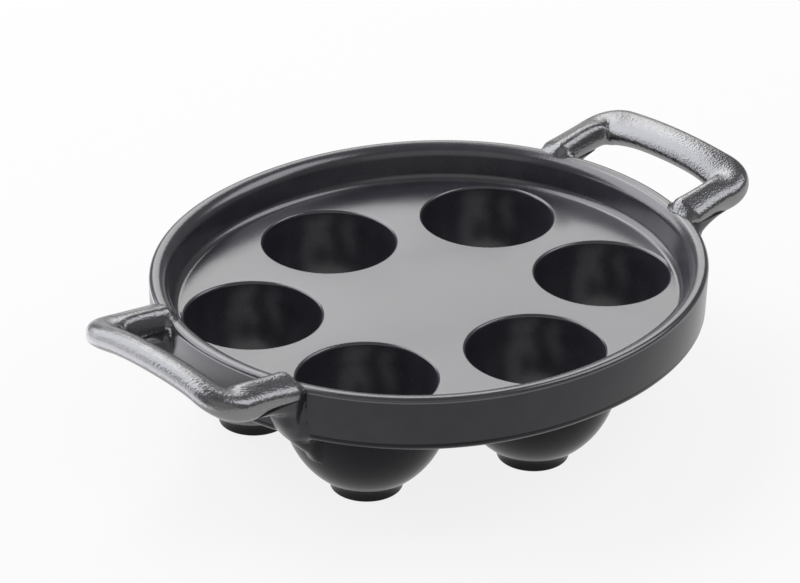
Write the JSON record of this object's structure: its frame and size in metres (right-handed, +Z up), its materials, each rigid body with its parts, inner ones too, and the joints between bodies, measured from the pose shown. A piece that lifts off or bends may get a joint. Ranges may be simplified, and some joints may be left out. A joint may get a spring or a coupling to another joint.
{
  "type": "escargot pan",
  "caption": "Small oval cast-iron snail pan in black enamel: a shallow tray with a ring of round wells, cups below on short feet, and two loop handles.",
  "frame": {"origin": "middle of the plane that the feet stand on", "axes": "+X along the line through both handles, +Y across the pan, +Z up out of the wells"},
  "size_m": [0.1796, 0.1302, 0.0459],
  "materials": {
    "tray_enamel": "gloss black enamel",
    "cup_enamel": "gloss black enamel",
    "foot_enamel": "satin black enamel",
    "handle_enamel": "gloss black enamel with a faint pebble"
  },
  "bodies": {
    "root": {"pan_tray": "tray_enamel", "cup_1": "cup_enamel", "cup_2": "cup_enamel", "cup_3": "cup_enamel", "cup_4": "cup_enamel", "cup_5": "cup_enamel", "cup_6": "cup_enamel", "foot_1": "foot_enamel", "foot_2": "foot_enamel", "foot_3": "foot_enamel", "foot_4": "foot_enamel", "foot_5": "foot_enamel", "foot_6": "foot_enamel", "handle_right": "handle_enamel", "handle_left": "handle_enamel"}
  },
  "joints": []
}
